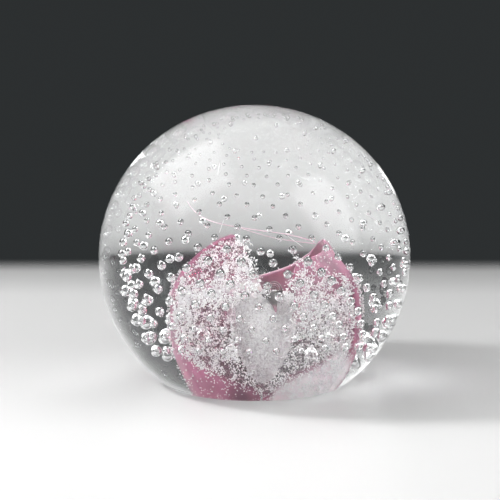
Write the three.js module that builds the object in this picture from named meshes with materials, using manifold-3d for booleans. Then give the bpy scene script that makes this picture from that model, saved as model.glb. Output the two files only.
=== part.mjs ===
// Round glass paperweight: a ground-off clear ball round a layer of air bubbles, with a
// two-lobed pink veil, white glass chips and a pulled thread in its core.
// Millimetres, +Z up. The origin is the middle of the ground base and the front faces -Y.
// Each layer is its own solid and is open at the base, where the finished ball was ground flat.

import * as THREE from 'three';
import { mergeVertices } from 'three/addons/utils/BufferGeometryUtils.js';
import Module from 'manifold-3d';

const wasm = await Module();
wasm.setup();

// Driving dimensions
const GAP = 0.3;                // clearance between neighbouring layers
const BALL_RADIUS = 40;         // widest radius of the finished ball
const CENTRE_HEIGHT = 31.6;     // height of the widest circle above the base
const CROWN_RISE = 39.2;        // rise of the crown above the widest circle
const BASE_BEVEL = 0.6;         // polished bevel round the ground base
const CORE_SHIFT = 1.9;         // the inner layers sit this far to the right of the ball's axis

const BUBBLE_RADIUS = 24.5;     // radius of the shell that the bubbles lie on
const NECK_HEIGHT = 14.3;       // where that shell turns down into its neck
const NECK_FOOT_RADIUS = 15.2;  // radius of the neck at the base

const CHIP_THICKNESS = 0.5;     // layer of white chips
const VEIL_THICKNESS = 0.7;     // layer of pink glass

const BUBBLES_PER_ROW = 21;
const BUBBLE_ROWS = 18;
const FIRST_ROW_ANGLE = 24;     // degrees from straight up to the first row of dimples
const ROW_ANGLE = 6.05;         // degrees from one row to the next
const ROW_TWIST = 0.39;         // turn from one row to the next, as a share of the spacing
const DIMPLE_RADIUS = 0.95;     // at the widest circle; smaller towards the crown

const CONE_TIP_HEIGHT = 9.2;
const CONE_TOP_HEIGHT = 26.4;
const CONE_WALL = 1;
const CONE_FORWARD = 5;         // the cone stands this far in front of the core's axis

const COIL_HEIGHT = 27.4;       // middle of the coil
const COIL_FORWARD = 11.5;      // the coil lies in front of the cone's top

const TURN_SEGMENTS = 32;
const CLEARANCE_BELOW = 1;      // how far a cutter runs past the face that it opens

// Materials
const clearGlass = new THREE.MeshStandardMaterial({
  color: 0xeef3f3, roughness: 0.03, metalness: 0, transparent: true, opacity: 0.3 });
const pinkGlass = new THREE.MeshStandardMaterial({ color: 0xb37391, roughness: 0.25, metalness: 0 });
const whiteGlass = new THREE.MeshStandardMaterial({ color: 0xe6dde0, roughness: 0.45, metalness: 0 });
const greyGlass = new THREE.MeshStandardMaterial({ color: 0x8b8389, roughness: 0.2, metalness: 0 });

// A closed three.js geometry as a solid that can be joined and cut
function solid(geometry) {
  const bare = geometry.clone();
  bare.deleteAttribute('normal');
  bare.deleteAttribute('uv');
  const merged = mergeVertices(bare, 1e-4);
  return new wasm.Manifold(new wasm.Mesh({
    numProp: 3,
    vertProperties: new Float32Array(merged.attributes.position.array),
    triVerts: new Uint32Array(merged.index.array),
  }));
}

// A solid as a named mesh
function part(name, body, material) {
  const { vertProperties, triVerts } = body.getMesh();
  const geometry = new THREE.BufferGeometry();
  geometry.setAttribute('position', new THREE.BufferAttribute(new Float32Array(vertProperties), 3));
  geometry.setIndex(new THREE.BufferAttribute(new Uint32Array(triVerts), 1));
  geometry.computeVertexNormals();
  const mesh = new THREE.Mesh(geometry, material);
  mesh.name = name;
  return mesh;
}

// A solid of revolution about a vertical axis at x = shift, from [radius, height] points, bottom first
function turned(points, shift = 0, segments = TURN_SEGMENTS) {
  const outline = points.map(([radius, height]) => new THREE.Vector2(radius, height));
  const geometry = new THREE.LatheGeometry(outline, segments);
  geometry.rotateX(Math.PI / 2);
  geometry.translate(shift, 0, 0);
  return solid(geometry);
}

// Points of an ellipse about the widest circle, from one angle to another, measured from straight up
function arcPoints(radius, rise, fromAngle, toAngle, steps) {
  return Array.from({ length: steps + 1 }, (_, i) => {
    const angle = THREE.MathUtils.lerp(fromAngle, toAngle, i / steps);
    return [radius * Math.sin(angle), CENTRE_HEIGHT + rise * Math.cos(angle)];
  });
}

// The whole ball: the ground base, its bevel, the round lower part and the slightly flat crown
function ballSolid() {
  const baseRadius = Math.sqrt(BALL_RADIUS ** 2 - (CENTRE_HEIGHT - BASE_BEVEL) ** 2);
  const bevelAngle = Math.PI - Math.asin(baseRadius / BALL_RADIUS);
  const lower = arcPoints(BALL_RADIUS, BALL_RADIUS, bevelAngle, Math.PI / 2, 6);
  const upper = arcPoints(BALL_RADIUS, CROWN_RISE, Math.PI / 2, 0, 9).slice(1, -1);
  return turned([
    [0, 0], [baseRadius - BASE_BEVEL, 0], ...lower, ...upper, [0, CENTRE_HEIGHT + CROWN_RISE],
  ]);
}

// The shell that carries the bubbles, grown by a margin, down to the given floor
function bubbleBell(margin, floor) {
  const radius = BUBBLE_RADIUS + margin;
  const neckAngle = Math.PI - Math.acos((CENTRE_HEIGHT - NECK_HEIGHT) / radius);
  const round = arcPoints(radius, radius, neckAngle, 0, 10).slice(0, -1);
  const footRadius = NECK_FOOT_RADIUS + margin;
  const foot = floor < 0 ? [[0, floor], [footRadius, floor], [footRadius, 0]] : [[0, 0], [footRadius, 0]];
  return turned([...foot, ...round, [0, CENTRE_HEIGHT + radius]], CORE_SHIFT);
}

// The bulb-shaped colour core at the outside of its chips, grown by a margin
function coreBulb(margin, floor) {
  const outline = [
    [10.4, 0], [12.9, 7.5], [14.5, 12], [15.8, 17], [16.2, 22], [15.7, 26], [13.9, 29.4],
    [10.4, 32.8], [6.2, 35],
  ].map(([radius, height]) => [radius + margin, height + (height > 30 ? margin : 0)]);
  const foot = floor < 0 ? [[0, floor], [outline[0][0], floor]] : [[0, 0]];
  return turned([...foot, ...outline, [0, 35.8 + margin]], CORE_SHIFT);
}

// A flat shape in the XZ plane, given a depth from one y to another
function slab(corners, fromY, toY) {
  const shape = new THREE.Shape(corners.map(([x, z]) => new THREE.Vector2(x, z)));
  const geometry = new THREE.ExtrudeGeometry(shape, { depth: toY - fromY, bevelEnabled: false });
  geometry.rotateX(Math.PI / 2);
  geometry.translate(0, toY, 0);
  return solid(geometry);
}

// A round rod along a smooth curve
function rod(points, radius, steps) {
  const path = new THREE.CatmullRomCurve3(points.map(([x, y, z]) => new THREE.Vector3(x, y, z)));
  const section = new THREE.Shape(
    Array.from({ length: 8 }, (_, i) => {
      const angle = (i / 8) * 2 * Math.PI;
      return new THREE.Vector2(radius * Math.cos(angle), radius * Math.sin(angle));
    }));
  return solid(new THREE.ExtrudeGeometry(section, { steps, extrudePath: path, bevelEnabled: false }));
}

// White cone of chips, drawn to a point at its lower end and open at the top, grown by a margin
function coneOutside(margin) {
  return [
    [0, CONE_TIP_HEIGHT - margin], [1.6 + margin, 9.9], [3.3 + margin, 12], [4.8 + margin, 15.4],
    [5.8 + margin, 19], [6.2 + margin, 22.4], [5.2 + margin, CONE_TOP_HEIGHT + margin],
  ];
}

function fritCone() {
  const bore = [
    [0, CONE_TIP_HEIGHT + 5], [5.6 - CONE_WALL, 19], [6.2 - CONE_WALL, 22.4],
    [5.2 - CONE_WALL, CONE_TOP_HEIGHT],
  ];
  return turned([...coneOutside(0), ...bore.reverse()], CORE_SHIFT).translate(0, -CONE_FORWARD, 0);
}

// Room for the cone and the coil, opened out to the front through the mouth between the lobes
function coneRoom() {
  const mouth = [[-1.4, 40], [-2.2, 30], [-2.6, 24.8], [6.8, 24.8], [6.8, 29.8], [5.4, 31], [5.4, 40]];
  return turned([...coneOutside(GAP), [0, CONE_TOP_HEIGHT + GAP]], CORE_SHIFT)
    .translate(0, -CONE_FORWARD, 0).add(slab(mouth, -30, -4));
}

// One dimple is the pit that one four-sided spike of the mould leaves
function dimple(row, column) {
  const down = THREE.MathUtils.degToRad(FIRST_ROW_ANGLE + row * ROW_ANGLE);
  const round = ((column + row * ROW_TWIST) / BUBBLES_PER_ROW) * 2 * Math.PI;
  const size = DIMPLE_RADIUS * Math.min(1, 0.35 + 0.65 * Math.sin(down) ** 2);
  const geometry = new THREE.ConeGeometry(size, 2 * size, 4);
  geometry.rotateX(-Math.PI / 2);
  geometry.rotateY(down);
  geometry.translate(BUBBLE_RADIUS * Math.sin(down), 0, BUBBLE_RADIUS * Math.cos(down));
  geometry.rotateZ(round);
  geometry.translate(CORE_SHIFT, 0, CENTRE_HEIGHT);
  return solid(geometry);
}

function dimples() {
  const all = [];
  for (let row = 0; row < BUBBLE_ROWS; row += 1) {
    for (let column = 0; column < BUBBLES_PER_ROW; column += 1) {
      all.push(dimple(row, column));
    }
  }
  return wasm.Manifold.union(all);
}

// Pink thread, pulled from the right lobe's peak up over the core to the left
const threadRoute = [
  [10.2, 0.4, 34.9], [7.2, -1.2, 36], [2.6, -2, 36.9], [-3.2, -1.6, 37.8], [-9.2, 0, 39.2], [-12, 1, 42.4],
];
const THREAD_RADIUS = 0.35;

// Small upright coil of grey glass in front of the cone's top
function twistCoil() {
  const turns = 2.25;
  const points = Array.from({ length: 20 }, (_, i) => {
    const share = i / 19;
    const angle = share * turns * 2 * Math.PI;
    const radius = THREE.MathUtils.lerp(0.5, 1.9, share);
    const across = CORE_SHIFT + 2.1 + radius * Math.cos(angle);
    return [across, -COIL_FORWARD - 0.5 * share, COIL_HEIGHT + radius * Math.sin(angle)];
  });
  return rod(points, 0.25, 26);
}

// The gap between the two lobes, wide at the front where the cone shows and narrow at the top
const frontGap = [
  [-1.4, 40], [-2.2, 30], [-4.4, 24], [-4.2, 17], [0, 9], [6, 9], [9.4, 17], [8.2, 26], [5.4, 31], [5.4, 40],
];
const backDip = [[-2.6, 40], [-2.6, 29.4], [1.6, 28], [6, 30.6], [6.6, 40]];
const PARTING = 0.15;

// Everything left or right of the line where the lobes meet at the back
const leftHalf = slab([[-30, -1], [CORE_SHIFT - PARTING, -1], [CORE_SHIFT - PARTING, 60], [-30, 60]], -30, 30);
const rightHalf = slab([[CORE_SHIFT + PARTING, -1], [30, -1], [30, 60], [CORE_SHIFT + PARTING, 60]], -30, 30);
const opening = slab(frontGap, -30, 0).add(slab(backDip, -30, 30)).add(coneRoom());

const chipShell = coreBulb(0, 0).subtract(coreBulb(-CHIP_THICKNESS, -CLEARANCE_BELOW)).subtract(opening);
const veilOutside = -CHIP_THICKNESS - GAP;
const veilInside = veilOutside - VEIL_THICKNESS;
const veilShell = coreBulb(veilOutside, 0).subtract(coreBulb(veilInside, -CLEARANCE_BELOW)).subtract(opening);
const coreGather = coreBulb(veilInside - GAP, 0).subtract(coneRoom());

const threadTunnel = rod(threadRoute, THREAD_RADIUS + GAP, 14);
const bubbleGather = bubbleBell(0, 0).subtract(coreBulb(GAP, -CLEARANCE_BELOW)).subtract(threadTunnel)
  .subtract(dimples());
const outerCasing = ballSolid().subtract(bubbleBell(GAP, -CLEARANCE_BELOW));

const group = new THREE.Group();
group.add(part('outer_casing', outerCasing, clearGlass));
group.add(part('bubble_gather', bubbleGather, clearGlass));
group.add(part('core_gather', coreGather, clearGlass));
group.add(part('veil_left_lobe', veilShell.intersect(leftHalf), pinkGlass));
group.add(part('veil_right_lobe', veilShell.intersect(rightHalf), pinkGlass));
group.add(part('chips_left_lobe', chipShell.intersect(leftHalf), whiteGlass));
group.add(part('chips_right_lobe', chipShell.intersect(rightHalf), whiteGlass));
group.add(part('chip_cone', fritCone(), whiteGlass));
group.add(part('twist_coil', twistCoil(), greyGlass));
group.add(part('pulled_thread', rod(threadRoute, THREAD_RADIUS, 14), pinkGlass));

export default group;
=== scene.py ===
import math
import random

import bmesh
import bpy
from mathutils import Matrix, Vector, noise


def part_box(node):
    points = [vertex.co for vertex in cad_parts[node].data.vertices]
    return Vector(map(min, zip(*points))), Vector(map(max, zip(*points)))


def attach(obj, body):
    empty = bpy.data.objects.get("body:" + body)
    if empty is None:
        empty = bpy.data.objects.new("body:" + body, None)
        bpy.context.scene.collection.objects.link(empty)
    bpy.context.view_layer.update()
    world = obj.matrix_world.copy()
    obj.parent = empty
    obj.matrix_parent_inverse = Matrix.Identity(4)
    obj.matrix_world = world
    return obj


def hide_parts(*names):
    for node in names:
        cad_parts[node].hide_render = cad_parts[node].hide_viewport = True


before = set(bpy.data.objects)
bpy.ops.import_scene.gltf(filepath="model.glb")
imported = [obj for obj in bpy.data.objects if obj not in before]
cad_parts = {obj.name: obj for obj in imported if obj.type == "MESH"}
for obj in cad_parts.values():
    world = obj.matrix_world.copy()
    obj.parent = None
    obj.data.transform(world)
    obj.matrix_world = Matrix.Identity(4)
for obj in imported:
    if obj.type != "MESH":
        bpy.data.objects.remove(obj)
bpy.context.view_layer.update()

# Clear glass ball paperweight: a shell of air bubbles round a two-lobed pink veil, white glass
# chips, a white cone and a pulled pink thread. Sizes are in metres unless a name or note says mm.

MM = 0.001
FULL_TURN = 2 * math.pi

# ---- Sizes ----------------------------------------------------------------------------------

casing_low, casing_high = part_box("outer_casing")
core_low, core_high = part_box("core_gather")

BALL_RADIUS = (casing_high.x - casing_low.x) / 2
CROWN_HEIGHT = casing_high.z
WAIST_HEIGHT = 0.79 * BALL_RADIUS          # height of the widest circle
CORE_X = (core_low.x + core_high.x) / 2    # the inner layers sit off the ball's axis
BASE_BEVEL = 0.6 * MM
BUBBLE_SHELL = 24.5 * MM                   # radius of the shell that the bubbles lie on
BUBBLES_PER_ROW = 21
GLASS_IOR = 1.5

ball_middle = Vector((0, 0, WAIST_HEIGHT))
shell_middle = Vector((CORE_X, 0, WAIST_HEIGHT))

# Radius and height of the colour core, in millimetres, from the base up
CORE_OUTLINE = [
    (10.2, 0.3), (12.9, 7.5), (14.5, 12), (15.8, 17), (16.2, 22), (15.7, 26), (13.9, 29.4), (10.4, 32.8),
    (6.2, 35.0), (1.0, 35.8),
]

# Height of the veil's rim, in millimetres, by angle from the front, positive to the right
RIM = [
    (-180, 26.5), (-172, 26.1), (-163, 27.7), (-150, 31.6), (-135, 34), (-110, 35), (-80, 35.2), (-50, 35),
    (-36, 34.8), (-27, 34.3), (-20, 33.4), (-13, 32.2), (-8, 31), (-4, 29.3), (0, 27.4), (4, 25.8),
    (8.5, 24.8), (13, 25.6), (18.5, 27.6), (23, 29.6), (28.5, 31.4), (37, 32.3), (50, 32.7), (65, 33.0),
    (85, 33.8), (100, 34.2), (118, 33.6), (140, 31.6), (155, 29.6), (168, 27.7), (180, 26.5),
]

# Front window through which the cone shows: height in millimetres, left and right edge in degrees
WINDOW_LEFT = [
    (8.8, -3), (9.6, -6), (11.4, -9), (13.6, -12), (16.8, -16), (19.9, -19), (22.9, -21), (28, -20),
]
WINDOW_RIGHT = [(8.8, -2), (9.6, 5), (11.4, 8), (13.6, 10), (16.8, 14), (19.9, 17), (22.9, 20), (28, 22)]
WINDOW_TOP = 27.0

# White cone: radius and height in millimetres, from its tip up
CONE_OUTLINE = [
    (0.0, 9.2), (1.2, 9.9), (2.6, 12.0), (4.0, 15.4), (5.2, 19), (6.1, 22.4), (6.1, 24.6), (5.0, 25.9),
    (2.8, 26.4), (0.0, 26.5),
]
CONE_PLACE = (CORE_X - 0.3 * MM, -5 * MM, 0)

# Coil and the funnel behind it, in millimetres; the funnel's radii and heights run from its tip
COIL_MIDDLE = (3.7, -11.8, 27.5)
FUNNEL_TOP = (3.3, -11.2, 27.2)
FUNNEL_TIP = (4.1, -12.2, 23.1)
FUNNEL_OUTLINE = [
    (0.0, 0.0), (0.16, 0.2), (0.45, 1.4), (1.1, 2.7), (1.8, 3.4), (2.05, 3.9), (1.6, 3.7), (0.0, 2.9),
]

# Threads, in millimetres, from the right lobe's peak to the left
PULLED_THREAD = [
    (10.4, 0.4, 34.2), (7.4, -1.2, 35.5), (3, -2, 36.4), (-2.8, -1.6, 37.0), (-10.2, 0, 38.1), (-11.8, 1, 41.2),
]
SECOND_THREAD = [(10.6, 0, 33.9), (7, -2, 34.7), (3.6, -2.6, 35.3), (0.6, -2.4, 36.1), (-3, -1.8, 37.2)]

# Short bright scratches on the dome: angle from the front, height, tilt from upright, length
SCRATCHES = [
    (-17, 58.5, 5, 4.6), (-12, 45.5, -14, 3.2), (14.5, 42, 52, 4.8), (49, 46, 62, 4.6), (51, 42, 72, 2.6),
]
SCRATCH_WIDTH = 0.2 * MM
SCRATCH_DEPTH = 0.04 * MM
SCRATCH_BELOW = 0.12 * MM      # how far below the polished surface they lie, so that they show

# Bubble width in millimetres by angle from the leaning axis on which the mould went in
BUBBLE_WIDTH = [
    (31, 0.5), (49, 0.66), (56, 0.78), (69, 1.0), (81, 1.22), (90, 1.48), (96, 1.66), (103, 1.95),
    (113, 2.05), (131, 1.85), (144, 1.55), (158, 1.4),
]
MOULD_LEAN = (6, 26)      # degrees to the right, degrees to the back

BUBBLE_ROWS = range(-12, 8)    # row 0 lies just above the widest circle
MIDDLE_ROW_DOWN = 88           # degrees from straight up to row 0
ROW_STEP = 5.6                 # degrees from row to row
LOW_ROW_SPREAD = 0.1           # how much each row below row 0 widens the step
FIRST_BUBBLE_TURN = -5.1
ROW_TURN = 6.7                 # degrees that each row is turned against the last

CHIPS_ON_EACH_LOBE = 8600
CHIPS_ON_CONE = 3200
CHIP_DEPTH = 0.5               # millimetres that the chips on the lobes are spread through
VEIL_THICKNESS = 0.5 * MM


# ---- Small helpers --------------------------------------------------------------------------

def smooth_step(low, high, value):
    share = min(1.0, max(0.0, (value - low) / (high - low)))
    return share * share * (3 - 2 * share)


def along(table, where):
    """Smooth curve through (where, value) pairs in rising order."""
    last = len(table) - 1
    if where <= table[0][0]:
        return table[0][1]
    if where >= table[last][0]:
        return table[last][1]
    i = next(k for k in range(last) if table[k + 1][0] >= where)
    x0, y0 = table[i]
    x1, y1 = table[i + 1]
    before, after = table[max(i - 1, 0)], table[min(i + 2, last)]
    slope_in = (y1 - before[1]) / (x1 - before[0])
    slope_out = (after[1] - y0) / (after[0] - x0)
    t = (where - x0) / (x1 - x0)
    width = x1 - x0
    return (
        (2 * t**3 - 3 * t**2 + 1) * y0 + (t**3 - 2 * t**2 + t) * width * slope_in
        + (3 * t**2 - 2 * t**3) * y1 + (t**3 - t**2) * width * slope_out
    )


CORE_BY_HEIGHT = [(height, radius) for radius, height in CORE_OUTLINE]


def core_point(angle, height, proud=0.0):
    """Point on the colour core; angle in degrees from the front, heights in millimetres."""
    radius = along(CORE_BY_HEIGHT, height) + proud
    radius += 2.2 * math.exp(-(((angle - 95) / 34) ** 2)) * smooth_step(31, 34.6, height)
    turn = math.radians(angle)
    return Vector((CORE_X + radius * math.sin(turn) * MM, -radius * math.cos(turn) * MM, height * MM))


def piece_from(bm, name, material, smooth=True):
    """A finished object at the origin, with its place in its mesh."""
    mesh = bpy.data.meshes.new(name)
    bm.to_mesh(mesh)
    bm.free()
    mesh.polygons.foreach_set("use_smooth", [smooth] * len(mesh.polygons))
    mesh.materials.append(material)
    piece = bpy.data.objects.new(name, mesh)
    bpy.context.collection.objects.link(piece)
    return piece


def spun(bm, outline, steps):
    """Turn an outline of (radius, height) points round the vertical axis."""
    verts = [bm.verts.new((radius, 0, height)) for radius, height in outline]
    edges = [bm.edges.new(pair) for pair in zip(verts, verts[1:])]
    bmesh.ops.spin(
        bm, geom=verts + edges, cent=(0, 0, 0), axis=(0, 0, 1), angle=FULL_TURN, steps=steps, use_merge=True)
    bmesh.ops.remove_doubles(bm, verts=bm.verts, dist=1e-7)
    bmesh.ops.recalc_face_normals(bm, faces=bm.faces)


# ---- Materials ------------------------------------------------------------------------------

def new_material(name):
    material = bpy.data.materials.new(name)
    material.use_nodes = True
    tree = material.node_tree
    tree.nodes.clear()
    return material, tree


def add(tree, kind, **settings):
    node = tree.nodes.new(kind)
    for key, value in settings.items():
        setattr(node, key, value)
    return node


def wire(tree, source, target):
    tree.links.new(source, target)


def colour(tree, low, high, factor):
    """Mix two colours by a factor socket."""
    mix = add(tree, "ShaderNodeMix", data_type="RGBA")
    mix.inputs["A"].default_value = (*low, 1)
    mix.inputs["B"].default_value = (*high, 1)
    wire(tree, factor, mix.inputs["Factor"])
    return mix.outputs["Result"]


def make_mottle_group():
    """Cloudy mottle at the given scale, stretched and turned, as a mask and as plain noise."""
    group = bpy.data.node_groups.new("glass_mottle", "ShaderNodeTree")
    kinds = {"Scale": "Float", "Stretch": "Vector", "Turn": "Vector", "Low": "Float", "High": "Float"}
    for name, kind in kinds.items():
        group.interface.new_socket(name, in_out="INPUT", socket_type="NodeSocket" + kind)
    for name in ("Mask", "Noise"):
        group.interface.new_socket(name, in_out="OUTPUT", socket_type="NodeSocketFloat")
    given = add(group, "NodeGroupInput").outputs
    place = add(group, "ShaderNodeMapping")
    wire(group, add(group, "ShaderNodeTexCoord").outputs["Object"], place.inputs["Vector"])
    wire(group, given["Turn"], place.inputs["Rotation"])
    wire(group, given["Stretch"], place.inputs["Scale"])
    cloud = add(group, "ShaderNodeTexNoise")
    cloud.inputs["Detail"].default_value = 4
    wire(group, place.outputs[0], cloud.inputs["Vector"])
    wire(group, given["Scale"], cloud.inputs["Scale"])
    spread = add(group, "ShaderNodeMapRange")
    wire(group, cloud.outputs["Fac"], spread.inputs["Value"])
    wire(group, given["Low"], spread.inputs["From Min"])
    wire(group, given["High"], spread.inputs["From Max"])
    result = add(group, "NodeGroupOutput")
    wire(group, spread.outputs[0], result.inputs["Mask"])
    wire(group, cloud.outputs["Fac"], result.inputs["Noise"])
    return group


def mottle(tree, scale, low, high, stretch=(1, 1, 1), turn=(0, 0, 0)):
    """Place the mottle in a material; its mask runs from 0 at low to 1 at high."""
    node = add(tree, "ShaderNodeGroup", node_tree=mottle_group)
    values = {"Scale": scale, "Stretch": stretch, "Turn": turn, "Low": low, "High": high}
    for name, value in values.items():
        node.inputs[name].default_value = value
    return node.outputs


def bumped(tree, height, strength, distance, shader):
    bump = add(tree, "ShaderNodeBump")
    bump.inputs["Strength"].default_value = strength
    bump.inputs["Distance"].default_value = distance
    wire(tree, height, bump.inputs["Height"])
    wire(tree, bump.outputs["Normal"], shader.inputs["Normal"])


def finish_with(tree, shader):
    wire(tree, shader.outputs[0], add(tree, "ShaderNodeOutputMaterial").inputs["Surface"])


def clear_glass():
    """Polished clear glass with the faintest sway left from shaping."""
    material, tree = new_material("clear_glass")
    glass = add(tree, "ShaderNodeBsdfPrincipled")
    glass.inputs["Base Color"].default_value = (0.985, 0.995, 0.995, 1)
    glass.inputs["Roughness"].default_value = 0.0
    glass.inputs["IOR"].default_value = GLASS_IOR
    glass.inputs["Transmission Weight"].default_value = 1
    bumped(tree, mottle(tree, 45, 0, 1)["Noise"], 0.02, 0.0004, glass)
    finish_with(tree, glass)
    return material


def pink_veil_glass():
    """Opal pink glass, streaked where it was drawn; its cover, its white dust mixed with painted light, and its
    painted shade are painted on it.
    """
    material, tree = new_material("pink_veil_glass")
    clouds = mottle(tree, 170, 0.34, 0.62)
    drawn = mottle(tree, 260, 0.40, 0.62, stretch=(1, 1, 0.16), turn=(0, math.radians(38), 0))
    pink = colour(tree, (0.20, 0.05, 0.105), (0.48, 0.16, 0.28), clouds["Mask"])
    streaked = add(tree, "ShaderNodeMix", data_type="RGBA")
    streaks = add(tree, "ShaderNodeMath", operation="MULTIPLY")
    wire(tree, drawn["Mask"], streaks.inputs[0])
    streaks.inputs[1].default_value = 0.5
    wire(tree, streaks.outputs[0], streaked.inputs["Factor"])
    wire(tree, pink, streaked.inputs["A"])
    streaked.inputs["B"].default_value = (0.58, 0.25, 0.36, 1)
    face = streaked.outputs["Result"]
    # The first paint is white dust in places and painted light in others; the second is painted shade
    for name, paint in (("dust_and_painted_light", (0.94, 0.86, 0.89, 1)), ("shade", (0.13, 0.045, 0.08, 1))):
        painted = add(tree, "ShaderNodeMix", data_type="RGBA")
        share = add(tree, "ShaderNodeAttribute", attribute_name=name)
        wire(tree, share.outputs["Fac"], painted.inputs["Factor"])
        wire(tree, face, painted.inputs["A"])
        painted.inputs["B"].default_value = paint
        face = painted.outputs["Result"]
    shader = add(tree, "ShaderNodeBsdfPrincipled")
    shader.inputs["Roughness"].default_value = 0.4
    shader.inputs["IOR"].default_value = 1.2
    shader.inputs["Subsurface Weight"].default_value = 0.6
    shader.inputs["Subsurface Radius"].default_value = (1.0, 0.6, 0.75)
    shader.inputs["Subsurface Scale"].default_value = 0.0015
    wire(tree, face, shader.inputs["Base Color"])
    cover = add(tree, "ShaderNodeAttribute", attribute_name="cover")
    wire(tree, cover.outputs["Fac"], shader.inputs["Alpha"])
    bumped(tree, clouds["Noise"], 0.3, 0.0003, shader)
    finish_with(tree, shader)
    return material


def drawn_glass(name, light, deep, low, high):
    """Drawn glass that passes from one colour to another with height, in metres, under fine streaks."""
    material, tree = new_material(name)
    parts = add(tree, "ShaderNodeSeparateXYZ")
    wire(tree, add(tree, "ShaderNodeTexCoord").outputs["Object"], parts.inputs[0])
    rise = add(tree, "ShaderNodeMapRange")
    rise.inputs["From Min"].default_value = low
    rise.inputs["From Max"].default_value = high
    wire(tree, parts.outputs["Z"], rise.inputs["Value"])
    blend = add(tree, "ShaderNodeMath", operation="MULTIPLY_ADD", use_clamp=True)
    wire(tree, mottle(tree, 900, 0.3, 0.7)["Mask"], blend.inputs[0])
    blend.inputs[1].default_value = 0.3
    wire(tree, rise.outputs[0], blend.inputs[2])
    shader = add(tree, "ShaderNodeBsdfPrincipled")
    shader.inputs["Roughness"].default_value = 0.25
    shader.inputs["IOR"].default_value = 1.3
    wire(tree, colour(tree, deep, light, blend.outputs[0]), shader.inputs["Base Color"])
    finish_with(tree, shader)
    return material


def white_chip_glass(name, low, high, grain):
    """Crushed white glass, mottled at the size of its grains."""
    material, tree = new_material(name)
    grains = mottle(tree, grain, 0.38, 0.56)
    shader = add(tree, "ShaderNodeBsdfPrincipled")
    shader.inputs["Roughness"].default_value = 0.35
    shader.inputs["IOR"].default_value = 1.3
    wire(tree, colour(tree, low, high, grains["Mask"]), shader.inputs["Base Color"])
    bumped(tree, grains["Noise"], 0.4, 0.0002, shader)
    finish_with(tree, shader)
    return material


# ---- Clear glass and bubbles ----------------------------------------------------------------

def ball_outline():
    """(radius, height) points from the middle of the base, over the bevel, to the crown."""
    rim_radius = math.sqrt(BALL_RADIUS**2 - (WAIST_HEIGHT - BASE_BEVEL) ** 2)
    outline = [(share / 8 * (rim_radius - BASE_BEVEL), 0) for share in range(9)]
    start = math.asin(rim_radius / BALL_RADIUS)
    for i in range(57):
        turn = math.pi - start + (start - math.pi / 2) * i / 56
        outline.append((BALL_RADIUS * math.sin(turn), WAIST_HEIGHT + BALL_RADIUS * math.cos(turn)))
    rise = CROWN_HEIGHT - WAIST_HEIGHT
    for i in range(1, 65):
        turn = math.pi / 2 * (1 - i / 64)
        outline.append((BALL_RADIUS * math.sin(turn), WAIST_HEIGHT + rise * math.cos(turn)))
    return outline


def bubble_places():
    """Middle and radius of each bubble: rows turn down to the right, as the mould twisted them."""
    draw = random.Random(11)
    lean_right, lean_back = (math.radians(lean) for lean in MOULD_LEAN)
    mould_axis = Vector((math.sin(lean_right), math.sin(lean_back), 1)).normalized()
    for row in BUBBLE_ROWS:
        below = max(row, 0)
        down = MIDDLE_ROW_DOWN + ROW_STEP * row + LOW_ROW_SPREAD * below * (below - 1)
        for column in range(BUBBLES_PER_ROW):
            turn = FIRST_BUBBLE_TURN + ROW_TURN * row + column * 360 / BUBBLES_PER_ROW + draw.uniform(-0.9, 0.9)
            tilt = down + draw.uniform(-0.7, 0.7)
            reach = BUBBLE_SHELL + draw.uniform(-0.25, 0.25) * MM
            direction = Vector((
                math.sin(math.radians(tilt)) * math.sin(math.radians(turn)),
                -math.sin(math.radians(tilt)) * math.cos(math.radians(turn)),
                math.cos(math.radians(tilt)),
            ))
            width = along(BUBBLE_WIDTH, math.degrees(direction.angle(mould_axis)))
            yield shell_middle + direction * reach, width / 2 * draw.uniform(0.93, 1.07) * MM


def strewn(places, subdivisions, inward=False):
    """One bmesh of many small grains, built in batches so that it stays quick; 0 gives flakes."""
    whole = bmesh.new()
    scrap = bpy.data.meshes.new("batch")
    for start in range(0, len(places), 60):
        batch = bmesh.new()
        for place in places[start:start + 60]:
            if subdivisions:
                bmesh.ops.create_icosphere(batch, subdivisions=subdivisions, radius=1, matrix=place)
            else:
                bmesh.ops.create_uvsphere(batch, u_segments=4, v_segments=2, radius=1, matrix=place)
        bmesh.ops.recalc_face_normals(batch, faces=batch.faces)
        if inward:
            bmesh.ops.reverse_faces(batch, faces=batch.faces)
        batch.to_mesh(scrap)
        batch.free()
        whole.from_mesh(scrap)
    bpy.data.meshes.remove(scrap)
    return whole


def clear_ball(material):
    """The ball with its bubbles: the bubbles' faces point into the air that they hold."""
    places = [Matrix.Translation(middle) @ Matrix.Scale(radius, 4) for middle, radius in bubble_places()]
    bubbles = strewn(places, 2, inward=True)
    mesh = bpy.data.meshes.new("bubbles")
    bubbles.to_mesh(mesh)
    bubbles.free()
    bm = bmesh.new()
    spun(bm, ball_outline(), 144)
    bm.from_mesh(mesh)
    bpy.data.meshes.remove(mesh)
    piece = piece_from(bm, "clear_glass_ball", material)
    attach(piece, "root")
    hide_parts("outer_casing", "bubble_gather", "core_gather")
    return piece


# ---- Colour core ----------------------------------------------------------------------------

def patch(angle, height, at_angle, at_height, wide, tall):
    """1 at the middle of a soft oval patch of the core, falling to 0 round it."""
    return math.exp(-(((angle - at_angle) / wide) ** 2) - (((height - at_height) / tall) ** 2))


# Heights in millimetres by angle from the front: the foot of the chips, the top of the frosted
# foot on the right, and the crest of thick chips on the left
CHIP_EDGE = [
    (-180, 9), (-100, 20), (-85, 19), (-75, 16), (-60, 12.5), (-45, 10.5), (-25, 8), (0, 5), (25, 3), (180, 3),
]
FROST_EDGE = [(0, 4), (15, 8), (50, 12.5), (66, 15.5), (80, 14), (110, 12)]
RIDGE_HEIGHT = [(-85, 21.5), (-70, 24), (-45, 26.6), (-20, 28.4)]


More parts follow.
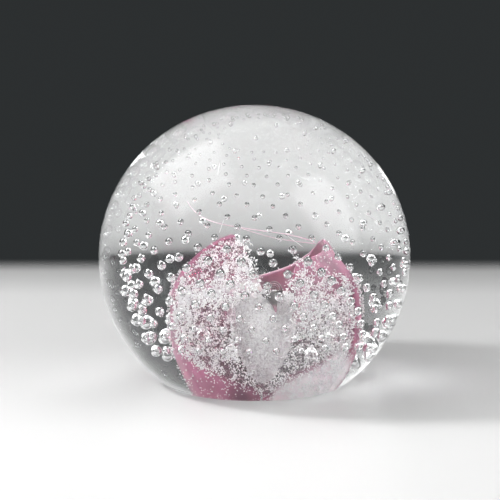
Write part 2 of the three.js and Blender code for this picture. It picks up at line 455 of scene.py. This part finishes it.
def frost(angle, height):
    """1 on the milky white foot of the right lobe, 0 elsewhere."""
    edge = along(FROST_EDGE, angle)
    return smooth_step(edge + 2, edge - 2, height) * smooth_step(2, 13, angle) * smooth_step(106, 92, angle)


def ridge(angle, height):
    """1 on the crest of thick chips that crosses the left lobe and runs into the cone."""
    return math.exp(-(((height - along(RIDGE_HEIGHT, angle)) / 1.6) ** 2)) * smooth_step(-84, -70, angle)


def veil_cover(angle, height):
    """How dense the pink is, from 0 to 1."""
    if angle > 112:
        return 0.1 + 0.85 * smooth_step(21, 25, height)
    if angle < -100:
        return 0.2 + 0.7 * smooth_step(21, 25, height)
    edge = along(CHIP_EDGE, angle)
    chipped = smooth_step(edge - 1.5, edge + 2.5, height)
    chipped *= smooth_step(-90, -78, angle) * smooth_step(86, 76, angle)
    cover = 0.95 - 0.68 * chipped - 0.35 * patch(angle, height, 0, 13, 36, 7) * chipped
    if angle < 0:
        cover += 0.5 * ridge(angle, height) + 0.1 * patch(angle, height, -60, 32.5, 34, 3)
    else:
        cover += 0.75 * patch(angle, height, 70, 32, 34, 3.6) + 0.6 * patch(angle, height, 30, 23, 7, 5)
        cover += 0.5 * patch(angle, height, 20, 27.5, 7, 3)
        cover -= 0.5 * patch(angle, height, 34, 15.5, 20, 7)
    return min(0.97, max(0.02, cover, 0.97 * frost(angle, height)))


def dust_and_painted_light(angle, height):
    """How far the pink pales, from 0 to 1: white dust on the frosted foot, the crest and beside the window;
    painted light on the back lip, the left side and the upper right.
    """
    # The back lip: painted light
    if abs(angle) > 112:
        return 0.25 * smooth_step(23, 26, height)
    pale = 0.9 * frost(angle, height)
    if angle < 0:
        # The crest of chips is white dust; the patch low on the left side is painted light
        pale += 0.85 * ridge(angle, height) + 0.25 * patch(angle, height, -88, 18, 14, 9)
    else:
        # Beside the window this is white dust; on the upper right shoulder and peak it is painted light
        pale += 0.8 * patch(angle, height, 36, 24, 16, 4) + 0.22 * patch(angle, height, 72, 32, 30, 3.6)
    return min(0.96, pale)


def shade(angle, height):
    """How far purple darkens the foot and the thin upper left, from 0 to 1."""
    foot = 0.85 * patch(angle, height, -22, 4.5, 15, 2.6) + 0.45 * patch(angle, height, -52, 7.5, 14, 2)
    return min(1.0, foot + 0.5 * patch(angle, height, -62, 31, 26, 3.4) * smooth_step(-20, -32, angle))


def powder(angle, height):
    """How thick the white chips lie, from 0 to 1."""
    edge = along(CHIP_EDGE, angle)
    if abs(angle) > 100:
        return 0.14 * smooth_step(12, 18, height) * smooth_step(30, 26, height)
    if angle < 0:
        lie = 0.62 + 0.75 * ridge(angle, height) - 0.3 * patch(angle, height, -66, 31.5, 30, 3.6)
        lie += 0.5 * patch(angle, height, -22, 32.5, 14, 2.6)
        lie -= 0.35 * patch(angle, height, -40, 20.5, 12, 3.5)
        lie *= smooth_step(-84, -74, angle)
    else:
        lie = 0.8 + 0.7 * patch(angle, height, 34, 23, 18, 5) - 0.45 * patch(angle, height, 36, 14, 18, 5)
        lie -= 0.8 * patch(angle, height, 70, 31.5, 30, 4.2)
        lie *= smooth_step(84, 74, angle)
    lie -= 0.25 * patch(angle, height, 0, 12, 32, 5)
    return max(0.03 + 0.1 * frost(angle, height), lie * smooth_step(edge - 2.5, edge + 2, height))


def in_window(angle, height):
    """Whether a point of the core lies in the open front window."""
    return height < WINDOW_TOP and along(WINDOW_LEFT, height) < angle < along(WINDOW_RIGHT, height)


def veil(material):
    """Both lobes of the pink veil, up to their rim, with the front window cut out."""
    steps_up, steps_round = 84, 320
    bottom = CORE_OUTLINE[0][1]
    bm = bmesh.new()
    spun(bm, [(1, i / steps_up) for i in range(steps_up + 1)], steps_round)
    # Per vertex: the pink's cover, white dust with painted light, and painted shade
    cover_layer = bm.verts.layers.float.new("cover")
    dust_and_light_layer = bm.verts.layers.float.new("dust_and_painted_light")
    shade_layer = bm.verts.layers.float.new("shade")
    shown = []
    for vert in bm.verts:
        angle = math.degrees(math.atan2(vert.co.x, -vert.co.y))
        height = bottom + (along(RIM, angle) - bottom) * vert.co.z
        turn = math.radians(angle)
        ripple = noise.noise(Vector((math.sin(turn) * 2, math.cos(turn) * 2, height / 6)))
        vert.co = core_point(angle, height, 0.3 * ripple)
        vert[cover_layer] = veil_cover(angle, height)
        vert[dust_and_light_layer] = dust_and_painted_light(angle, height)
        vert[shade_layer] = shade(angle, height)
        if in_window(angle, height):
            shown.append(vert)
    bmesh.ops.delete(bm, geom=shown, context="VERTS")
    bmesh.ops.recalc_face_normals(bm, faces=bm.faces)
    bmesh.ops.solidify(bm, geom=bm.faces[:], thickness=VEIL_THICKNESS)
    bmesh.ops.recalc_face_normals(bm, faces=bm.faces)
    piece = piece_from(bm, "pink_veil", material)
    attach(piece, "root")
    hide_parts("veil_left_lobe", "veil_right_lobe")
    return piece


def chip_at(draw, middle):
    """Place, lie and size of one flake of glass."""
    size = draw.uniform(0.08, 0.19) * MM
    stretch = Matrix.Diagonal((size, size * draw.uniform(0.6, 1), size * draw.uniform(1, 1.9), 1))
    axis = Vector((draw.gauss(0, 1), draw.gauss(0, 1), draw.gauss(0, 1)))
    return Matrix.Translation(middle) @ Matrix.Rotation(draw.uniform(0, FULL_TURN), 4, axis) @ stretch


def lobe_chips(sign, count, seed):
    """Chips strewn over one lobe, in clumps, thickest where the powder lies."""
    draw = random.Random(seed)
    places = []
    while len(places) < count:
        angle = sign * draw.uniform(0, 180)
        height = draw.uniform(1.5, 35.2)
        stray = 0.4 + (abs(draw.gauss(0, 0.9)) if abs(angle) < 40 else 0)
        if height > along(RIM, angle) + stray:
            continue
        if in_window(angle + draw.gauss(0, 2.5), height + draw.gauss(0, 0.8)):
            continue
        clump = 0.75 + 1.3 * noise.noise(core_point(angle, height) * 620)
        if draw.random() < powder(angle, height) * along(CORE_BY_HEIGHT, height) / 16 * clump:
            places.append(chip_at(draw, core_point(angle, height, draw.uniform(0, CHIP_DEPTH))))
    return places


def cone_chips(count, seed):
    """Chips that crust the front of the white cone."""
    draw = random.Random(seed)
    table = [(height, radius) for radius, height in CONE_OUTLINE]
    places = []
    while len(places) < count:
        height = draw.uniform(9.4, 26.3)
        radius = along(table, height)
        if draw.random() < radius / 6.4:
            turn = math.radians(draw.uniform(-112, 112))
            reach = (radius + draw.uniform(0, 0.45)) * MM
            side = Vector((reach * math.sin(turn), -reach * math.cos(turn), height * MM))
            places.append(chip_at(draw, Vector(CONE_PLACE) + side))
    return places


def chips(name, material, places, *nodes):
    """One piece made of all the chips at these places."""
    piece = piece_from(strewn(places, 0), name, material, smooth=False)
    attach(piece, "root")
    if nodes:
        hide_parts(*nodes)
    return piece


def cone(material):
    """The lumpy white cone, with its rows closest together at its tip and top."""
    bm = bmesh.new()
    table = [(height, radius) for radius, height in CONE_OUTLINE]
    low, high = table[0][0], table[-1][0]
    steps_up, steps_round = 60, 96
    outline = []
    for i in range(steps_up + 1):
        height = low + (high - low) * (0.5 - 0.5 * math.cos(math.pi * i / steps_up))
        outline.append((max(0, along(table, height)) * MM, height * MM))
    spun(bm, outline, steps_round)
    for vert in bm.verts:
        reach = Vector((vert.co.x, vert.co.y, 0))
        lump = noise.noise(vert.co * 300) * 0.35 + noise.noise(vert.co * 900) * 0.12
        vert.co += reach.normalized() * lump * MM if reach.length > 1e-5 else Vector()
    bmesh.ops.translate(bm, verts=bm.verts, vec=CONE_PLACE)
    piece = piece_from(bm, "white_cone", material)
    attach(piece, "root")
    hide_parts("chip_cone")
    return piece


def strand(name, points, radius, material, slot, *nodes):
    """A thin round rod of glass along points in millimetres."""
    curve = bpy.data.curves.new(name, "CURVE")
    curve.dimensions = "3D"
    curve.bevel_depth = radius * MM
    curve.bevel_resolution = 2
    curve.use_fill_caps = True
    spline = curve.splines.new("NURBS")
    spline.points.add(len(points) - 1)
    for knot, point in zip(spline.points, points):
        knot.co = (*(value * MM for value in point), 1)
    spline.order_u = 4
    spline.use_endpoint_u = True
    spline.resolution_u = 6
    curve.materials.append(material)
    piece = bpy.data.objects.new(name, curve)
    bpy.context.collection.objects.link(piece)
    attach(piece, "root")
    if nodes:
        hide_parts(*nodes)
    return piece


def coil_points():
    """Points of a spiral that stands upright and opens out towards the front."""
    turns, steps = 3.6, 80
    x, y, z = COIL_MIDDLE
    for i in range(steps + 1):
        share = i / steps
        turn = share * turns * FULL_TURN
        radius = 0.25 + 1.6 * share
        across, up = 0.92 * radius * math.cos(turn), radius * math.sin(turn)
        yield (x + across, y + 0.7 * share, z - 0.3 * share + up)


def funnel(material):
    """Small funnel behind the coil, drawn down to a pink tip; its grey is painted shade for the inside of the
    hollow.
    """
    top, tip = Vector(FUNNEL_TOP) * MM, Vector(FUNNEL_TIP) * MM
    bm = bmesh.new()
    spun(bm, [(radius * MM, height * MM) for radius, height in FUNNEL_OUTLINE], 32)
    lie = Matrix.Translation(tip) @ (top - tip).to_track_quat("Z", "Y").to_matrix().to_4x4()
    bmesh.ops.transform(bm, matrix=lie, verts=bm.verts)
    piece = piece_from(bm, "twist_funnel", material)
    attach(piece, "root")
    return piece


def on_dome(angle, height):
    """Point on the ball's polished top and its normal; angle in degrees, height in millimetres."""
    rise = (height * MM - WAIST_HEIGHT) / (CROWN_HEIGHT - WAIST_HEIGHT)
    reach = BALL_RADIUS * math.sqrt(1 - rise * rise)
    turn = math.radians(angle)
    point = Vector((reach * math.sin(turn), -reach * math.cos(turn), height * MM))
    return point, (point - ball_middle).normalized()


def scratches(material):
    """Short needles that stand for scratches that catch the light on the dome."""
    bm = bmesh.new()
    for angle, height, tilt, length in SCRATCHES:
        middle, normal = on_dome(angle, height)
        lie = normal.to_track_quat("Z", "Y").to_matrix().to_4x4()
        lie = Matrix.Rotation(math.radians(tilt), 4, normal) @ lie
        shape = Matrix.Diagonal((SCRATCH_WIDTH / 2, length / 2 * MM, SCRATCH_DEPTH / 2, 1))
        place = Matrix.Translation(middle - normal * SCRATCH_BELOW) @ lie @ shape
        bmesh.ops.create_uvsphere(
            bm, u_segments=8, v_segments=24, radius=1, matrix=place @ Matrix.Rotation(math.pi / 2, 4, "X"))
    piece = piece_from(bm, "dome_scratches", material)
    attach(piece, "root")
    return piece


# ---- Stage ----------------------------------------------------------------------------------

TABLE_FADE_START = 0.150
TABLE_FADE_END = 0.178
TABLE_HALF_WIDTH = 0.6
TABLE_DROP = 0.15 * MM         # keeps the table just clear of the ground base
TABLE_NEAR = -0.06
# The table's tone by distance back is painted shade, darker towards the back
TABLE_SHADE_TONES = [(0.05, 0.47), (0.45, 0.375), (0.72, 0.36), (0.95, 0.19)]    # share of the way back, tone
STUDIO_LIGHT = 0.78
LAMP_DISTANCE = 0.55
CLOTH_COLOUR = (0.026, 0.029, 0.030)
CLOTH_HALF_WIDTH, CLOTH_SIDE_FADE = 46, 55    # degrees
CLOTH_TOP, CLOTH_TOP_FADE = 37, 20            # degrees
CAMERA_DISTANCE = 0.450
CAMERA_TILT = 10.0             # degrees down
AIM_RIGHT, AIM_UP = -1.15 * MM, 1.92 * MM      # where the camera aims, from the ball's middle

# Name, direction from the ball, width, height, radiance, and whether the polished glass mirrors it
LAMPS = [
    ("soft_left", (-0.59, -0.02, 0.805), 0.62, 0.52, 3.0, True),
    ("soft_right", (0.768, -0.355, 0.532), 0.42, 0.62, 2.7, True),
    ("front_fill", (-0.25, -0.86, 0.44), 0.42, 0.32, 2.7, False),
    ("low_left", (-0.75, 0.02, 0.66), 0.12, 0.12, 130, False),
    ("low_right", (0.86, 0.06, 0.50), 0.14, 0.14, 18, False),
    ("overhead", (0.03, 0.5, 0.86), 0.4, 0.3, 3, False),
]


def table_top():
    """Pale table, its colour painted darker towards the back as painted shade, that fades into the cloth."""
    bm = bmesh.new()
    bmesh.ops.create_grid(bm, x_segments=1, y_segments=1, size=TABLE_HALF_WIDTH)
    bmesh.ops.translate(bm, verts=bm.verts, vec=(0, TABLE_FADE_END - TABLE_HALF_WIDTH, -TABLE_DROP))
    material, tree = new_material("table")
    place = add(tree, "ShaderNodeTexCoord").outputs["Object"]
    parts = add(tree, "ShaderNodeSeparateXYZ")
    wire(tree, place, parts.inputs[0])
    edge = add(tree, "ShaderNodeMapRange", interpolation_type="SMOOTHSTEP")
    edge.inputs["From Min"].default_value = TABLE_FADE_END
    edge.inputs["From Max"].default_value = TABLE_FADE_START
    wire(tree, parts.outputs["Y"], edge.inputs["Value"])
    shader = add(tree, "ShaderNodeBsdfPrincipled")
    depth = add(tree, "ShaderNodeMapRange")
    depth.inputs["From Min"].default_value = TABLE_NEAR
    depth.inputs["From Max"].default_value = TABLE_FADE_END
    wire(tree, parts.outputs["Y"], depth.inputs["Value"])
    # Painted shade: the table's colour darkens towards the back
    ramp = add(tree, "ShaderNodeValToRGB")
    stops = ramp.color_ramp.elements
    for where, tone in TABLE_SHADE_TONES:
        stop = stops.new(where)
        stop.color = (tone, tone, tone, 1)
    stops.remove(stops[0])
    stops.remove(stops[-1])
    wire(tree, depth.outputs[0], ramp.inputs[0])
    wire(tree, ramp.outputs[0], shader.inputs["Base Color"])
    shader.inputs["Roughness"].default_value = 0.3
    shader.inputs["Specular IOR Level"].default_value = 0.15
    wire(tree, edge.outputs[0], shader.inputs["Alpha"])
    wire(tree, shader.outputs[0], add(tree, "ShaderNodeOutputMaterial").inputs["Surface"])
    piece_from(bm, "table_top", material, smooth=False)


def softbox(name, direction, width, height, radiance, mirrored):
    """Lamp panel facing the ball, brightest in the middle, with soft edges."""
    bm = bmesh.new()
    bmesh.ops.create_grid(bm, x_segments=1, y_segments=1, size=1)
    bmesh.ops.scale(bm, verts=bm.verts, vec=(width / 2, height / 2, 1))
    material, tree = new_material(name)
    parts = add(tree, "ShaderNodeSeparateXYZ")
    wire(tree, add(tree, "ShaderNodeTexCoord").outputs["Object"], parts.inputs[0])
    masks = []
    for axis, half in ((0, width / 2), (1, height / 2)):
        side = add(tree, "ShaderNodeMath", operation="ABSOLUTE")
        wire(tree, parts.outputs[axis], side.inputs[0])
        mask = add(tree, "ShaderNodeMapRange", interpolation_type="SMOOTHSTEP")
        mask.inputs["From Min"].default_value = half
        mask.inputs["From Max"].default_value = half * 0.55
        wire(tree, side.outputs[0], mask.inputs["Value"])
        masks.append(mask.outputs[0])
    glow = add(tree, "ShaderNodeMath", operation="MULTIPLY")
    wire(tree, masks[0], glow.inputs[0])
    wire(tree, masks[1], glow.inputs[1])
    strength = add(tree, "ShaderNodeMath", operation="MULTIPLY")
    wire(tree, glow.outputs[0], strength.inputs[0])
    strength.inputs[1].default_value = radiance
    lamp = add(tree, "ShaderNodeEmission")
    wire(tree, strength.outputs[0], lamp.inputs["Strength"])
    clear = add(tree, "ShaderNodeBsdfTransparent")
    both = add(tree, "ShaderNodeAddShader")
    wire(tree, lamp.outputs[0], both.inputs[0])
    wire(tree, clear.outputs[0], both.inputs[1])
    wire(tree, both.outputs[0], add(tree, "ShaderNodeOutputMaterial").inputs["Surface"])
    panel = piece_from(bm, name, material, smooth=False)
    aim = Vector(direction).normalized()
    panel.location = ball_middle + aim * LAMP_DISTANCE
    panel.rotation_euler = aim.to_track_quat("Z", "Y").to_euler()
    panel.visible_camera = False
    panel.visible_glossy = mirrored


def backdrop():
    """Bright studio all round, but a dark cloth behind the table."""
    world = bpy.data.worlds.new("studio")
    bpy.context.scene.world = world
    world.use_nodes = True
    tree = world.node_tree
    tree.nodes.clear()
    parts = add(tree, "ShaderNodeSeparateXYZ")
    wire(tree, add(tree, "ShaderNodeTexCoord").outputs["Generated"], parts.inputs[0])
    sideways = add(tree, "ShaderNodeMath", operation="ABSOLUTE")
    wire(tree, parts.outputs["X"], sideways.inputs[0])
    azimuth = add(tree, "ShaderNodeMath", operation="ARCTAN2")
    wire(tree, sideways.outputs[0], azimuth.inputs[0])
    wire(tree, parts.outputs["Y"], azimuth.inputs[1])
    rise = add(tree, "ShaderNodeMath", operation="ARCSINE")
    wire(tree, parts.outputs["Z"], rise.inputs[0])
    masks = []
    edges = ((azimuth, CLOTH_HALF_WIDTH, CLOTH_SIDE_FADE), (rise, CLOTH_TOP, CLOTH_TOP_FADE))
    for source, inner, fade in edges:
        mask = add(tree, "ShaderNodeMapRange", interpolation_type="SMOOTHSTEP")
        mask.inputs["From Min"].default_value = math.radians(inner + fade)
        mask.inputs["From Max"].default_value = math.radians(inner)
        wire(tree, source.outputs[0], mask.inputs["Value"])
        masks.append(mask.outputs[0])
    cloth = add(tree, "ShaderNodeMath", operation="MULTIPLY")
    wire(tree, masks[0], cloth.inputs[0])
    wire(tree, masks[1], cloth.inputs[1])
    shade = colour(tree, (STUDIO_LIGHT,) * 3, CLOTH_COLOUR, cloth.outputs[0])
    background = add(tree, "ShaderNodeBackground")
    wire(tree, shade, background.inputs["Color"])
    wire(tree, background.outputs[0], add(tree, "ShaderNodeOutputWorld").inputs["Surface"])


def camera():
    lens = bpy.data.cameras.new("camera")
    lens.lens = 125.9
    lens.sensor_width = 36
    lens.clip_start = 0.01
    eye = bpy.data.objects.new("camera", lens)
    bpy.context.collection.objects.link(eye)
    tilt = math.radians(CAMERA_TILT)
    back = Vector((0, -math.cos(tilt), math.sin(tilt)))
    up = Vector((0, math.sin(tilt), math.cos(tilt)))
    eye.location = ball_middle + back * CAMERA_DISTANCE
    target = ball_middle + Vector((AIM_RIGHT, 0, 0)) + up * AIM_UP
    eye.rotation_euler = (eye.location - target).to_track_quat("Z", "Y").to_euler()
    bpy.context.scene.camera = eye


def render_settings():
    scene = bpy.context.scene
    scene.view_settings.view_transform = "Standard"
    scene.view_settings.look = "None"
    scene.cycles.max_bounces = 32
    scene.cycles.transmission_bounces = 28
    scene.cycles.glossy_bounces = 12
    scene.cycles.diffuse_bounces = 4
    scene.cycles.transparent_max_bounces = 64
    scene.cycles.use_denoising = True
    scene.cycles.blur_glossy = 0.3
    scene.cycles.sample_clamp_indirect = 20


render_settings()
camera()
backdrop()
for name, direction, width, height, radiance, mirrored in LAMPS:
    softbox(name, direction, width, height, radiance, mirrored)
table_top()

mottle_group = make_mottle_group()
glass = clear_glass()
pink = pink_veil_glass()
chip_white = white_chip_glass("chip_white", (0.80, 0.77, 0.79), (0.93, 0.92, 0.925), 900)
cone_white = white_chip_glass("cone_white", (0.72, 0.68, 0.70), (0.96, 0.94, 0.95), 2200)
# A lighter copy of the white chip glass: painted light that brightens the chips on the shaded cone
crust_white_painted_light = white_chip_glass("crust_white_painted_light", (0.90, 0.88, 0.89), (0.99, 0.985, 0.985), 900)
coil_grey = white_chip_glass("coil_glass", (0.13, 0.12, 0.12), (0.34, 0.32, 0.32), 1400)
# The funnel's grey is painted shade; its pink tip is the glass's own colour
funnel_painted_shade = drawn_glass("funnel_shade_glass", (0.17, 0.16, 0.16), (0.66, 0.36, 0.45), 0.0232, 0.0252)
thread_pink = drawn_glass("thread_glass", (0.84, 0.73, 0.78), (0.66, 0.36, 0.48), 0.033, 0.041)

clear_ball(glass)
veil(pink)
chips("chips_left", chip_white, lobe_chips(-1, CHIPS_ON_EACH_LOBE, 5), "chips_left_lobe")
chips("chips_right", chip_white, lobe_chips(1, CHIPS_ON_EACH_LOBE, 6), "chips_right_lobe")
cone(cone_white)
chips("chips_on_cone", crust_white_painted_light, cone_chips(CHIPS_ON_CONE, 7))
strand("twist_coil_glass", list(coil_points()), 0.1, coil_grey, "grey_glass", "twist_coil")
funnel(funnel_painted_shade)
strand("pulled_thread_glass", PULLED_THREAD, 0.09, thread_pink, "pink_glass", "pulled_thread")
strand("second_thread_glass", SECOND_THREAD, 0.06, thread_pink, "pink_glass")
scratches(chip_white)
